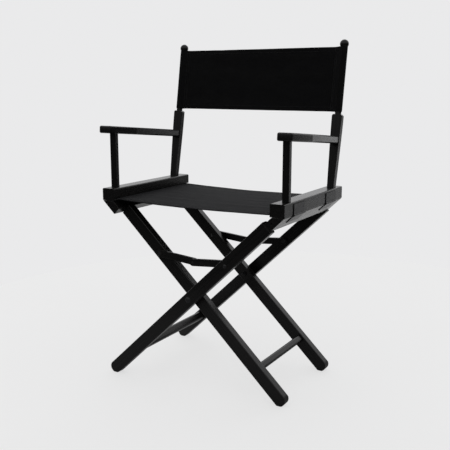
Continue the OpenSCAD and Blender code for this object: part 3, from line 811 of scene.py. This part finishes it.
# %% One stitch, placed many times
stitch_l, stitch_pitch, stitch_r = 0.0030, 0.0040, 0.00038
stitch_rings, stitch_sides = 5, 6


def unit(vectors):
    """The same directions, each divided by its length."""
    return vectors / np.linalg.norm(vectors, axis=1, keepdims=True)


def even_steps(line, values):
    """Reads values kept at a polyline's points at equal steps of its length."""
    length = np.concatenate([[0], np.cumsum(np.linalg.norm(np.diff(line, axis=0), axis=1))])
    at = np.arange(stitch_pitch / 2, length[-1], stitch_pitch)
    return np.stack([np.interp(at, length, values[:, k]) for k in range(3)], -1)


def stitches(name, lines):
    """Each line is (points, normals). A stitch is a tube: the square of its radius falls with
    the square of the distance from its middle, and its centre line rises as a parabola."""
    centres = [even_steps(line, line) for line, normal in lines]
    centre = np.concatenate(centres)
    way = np.concatenate([unit(np.gradient(c, axis=0)) for c in centres])
    up = np.concatenate([unit(even_steps(line, normal)) for line, normal in lines])
    across = np.cross(up, way)
    t = np.linspace(-1, 1, stitch_rings)
    radius = stitch_r * np.sqrt(np.maximum(1 - t ** 2, 0.02))
    rise = stitch_r * (0.9 - 1.1 * t ** 2)
    angle = np.arange(stitch_sides) * math.pi / 3
    sideways = radius[:, None] * np.cos(angle)[None]
    upright = rise[:, None] + radius[:, None] * np.sin(angle)[None]
    points = (centre[:, None, None]
              + way[:, None, None] * (t * stitch_l / 2)[None, :, None, None]
              + across[:, None, None] * sideways[None, :, :, None]
              + up[:, None, None] * upright[None, :, :, None])
    per_stitch = stitch_rings * stitch_sides
    first = (np.arange(len(centre)) * per_stitch)[:, None]
    tube = grid_faces(stitch_rings, stitch_sides, close_columns=True)
    tubes = (tube[None] + first[..., None]).reshape(-1, 4)
    caps = np.arange(stitch_sides)[None] + first
    ends = caps[:, ::-1] + per_stitch - stitch_sides
    print(name, len(centre), "stitches")
    return build_piece(name, points, [*tubes, *caps, *ends], thread)

# %% Rows along the seat and the back
def sewing_lines(grid, spacing):
    """The two lines that run along the free edges of a sheet, on its upper face."""
    n = grid_normals(grid)
    k, part = int(stitch_inset // spacing), (stitch_inset % spacing) / spacing
    lines = []
    for a, b in ((k, k + 1), (-1 - k, -2 - k)):
        line = grid[:, a] * (1 - part) + grid[:, b] * part
        lines.append((line + n[:, a] * cloth_t * 0.5, n[:, a]))
    return lines


seat_stitches = stitches("seat_stitching", sewing_lines(seat_rest, seat_spacing))
back_stitches = stitches("back_stitching", sewing_lines(back_rest, back_spacing))

# %% Seams of the sleeves
seam_points = 40
for side, word in ((-1, "left"), (1, "right")):
    lines = []
    for inset in (0.0016, 0.0066):
        depth = front_layer - cloth_t * 0.5 - inset / 0.016 * 0.0065
        line = on_post(np.stack([
            np.full(seam_points, side * (post_foot[0] - seam_in + inset)),
            np.full(seam_points, depth),
            np.linspace(sleeve_low + 0.002, sleeve_high - 0.002, seam_points)], -1))
        lines.append((line, np.broadcast_to(lean_out, line.shape)))
    seam = stitches(f"sleeve_stitching_{word}", lines)
    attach(seam, f"{word}_side")

# %% [markdown]
# ## How the soft pieces ride
# The seat and the back span both sides of the chair. When the chair folds, the two sides come
# together and the cloth gathers between them. Each sheet rides on the left side, and its
# stitches do the same.

# %% Ride on the left side
for piece in (seat, seat_stitches):
    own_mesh(piece)
    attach(piece, "left_side")
for piece in (back, back_stitches):
    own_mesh(piece)
    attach(piece, "left_side")
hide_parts("seat_panel")
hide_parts("back_panel")

# %% [markdown]
# ## Floor and light
# A pale seamless studio: the light is soft and comes from above and behind, with little from
# the camera's side, so the tops of the wood shine and the faces turned to the camera stay
# deep black. The world shines by direction: dim all round, bright from above and from the far
# wall. The floor is matt and glows as well, which keeps it as pale as the wall behind it.
# Seen directly, wall and floor are an even pale grey. What they throw on the chair is
# less near the camera and more at the far side.

# %% Floor
background = 0.823
far_way = (-0.508, 0.861, 0)


def floor_finish(wire):
    """Glows evenly for the camera, and by its place along `far_way` for everything else."""
    at = wire.node("ShaderNodeTexCoord", out="Object")
    tone = noise(at, scale=3, detail=2)
    seen = wire.node("ShaderNodeLightPath", out="Is Camera Ray")
    lit = 0.08 + 0.84 * at.along(far_way).step(-0.10, 0.75)
    return {"Base Color": tone.mix((0.245, 0.245, 0.246, 1), (0.255, 0.255, 0.256, 1)),
            "Emission Color": seen.max(lit).mix((0, 0, 0, 1), (1, 1, 1, 1))}


floor_r, floor_y = 1.15, 0.25
floor_sides = 96
ring = np.linspace(0, 2 * math.pi, floor_sides + 1)[:-1]
radii = np.array([0.0, 0.3, 0.6, 0.9, 1.0])[:, None] * floor_r
disc = np.stack(np.broadcast_arrays(
    radii * np.cos(ring), radii * np.sin(ring) + floor_y, 0.0), -1)
floor = build_piece("floor", disc,
                    grid_faces(len(radii), floor_sides, close_columns=True)[:, ::-1],
                    material("floor", floor_finish, {"Roughness": 1.0, "Specular IOR Level": 0.0,
                                                     "Emission Strength": 0.648}))

# %% World light
world = bpy.data.worlds.new("studio")
bpy.context.scene.world = world
world.use_nodes = True
tree = world.node_tree
tree.nodes.clear()
wire = Wire(tree)
way = wire.node("ShaderNodeTexCoord", out="Generated")
above = way.along((0, 0, 1)).step(0.06, 0.62)
wall = way.along(far_way).step(0.32, 0.78)
light = 0.055 + 0.80 * wall + 0.62 * above
seen = wire.node("ShaderNodeLightPath", out="Is Camera Ray")
strength = seen * background + (1 - seen) * light
shine = wire.node("ShaderNodeBackground", None,
                  {"Color": (1, 1, 1.008, 1), "Strength": strength})
output = tree.nodes.new("ShaderNodeOutputWorld")
tree.links.new(shine.socket, output.inputs["Surface"])

view = bpy.context.scene.view_settings
view.view_transform = "Standard"
view.look = "None"
print("world light", len(tree.nodes), "nodes")
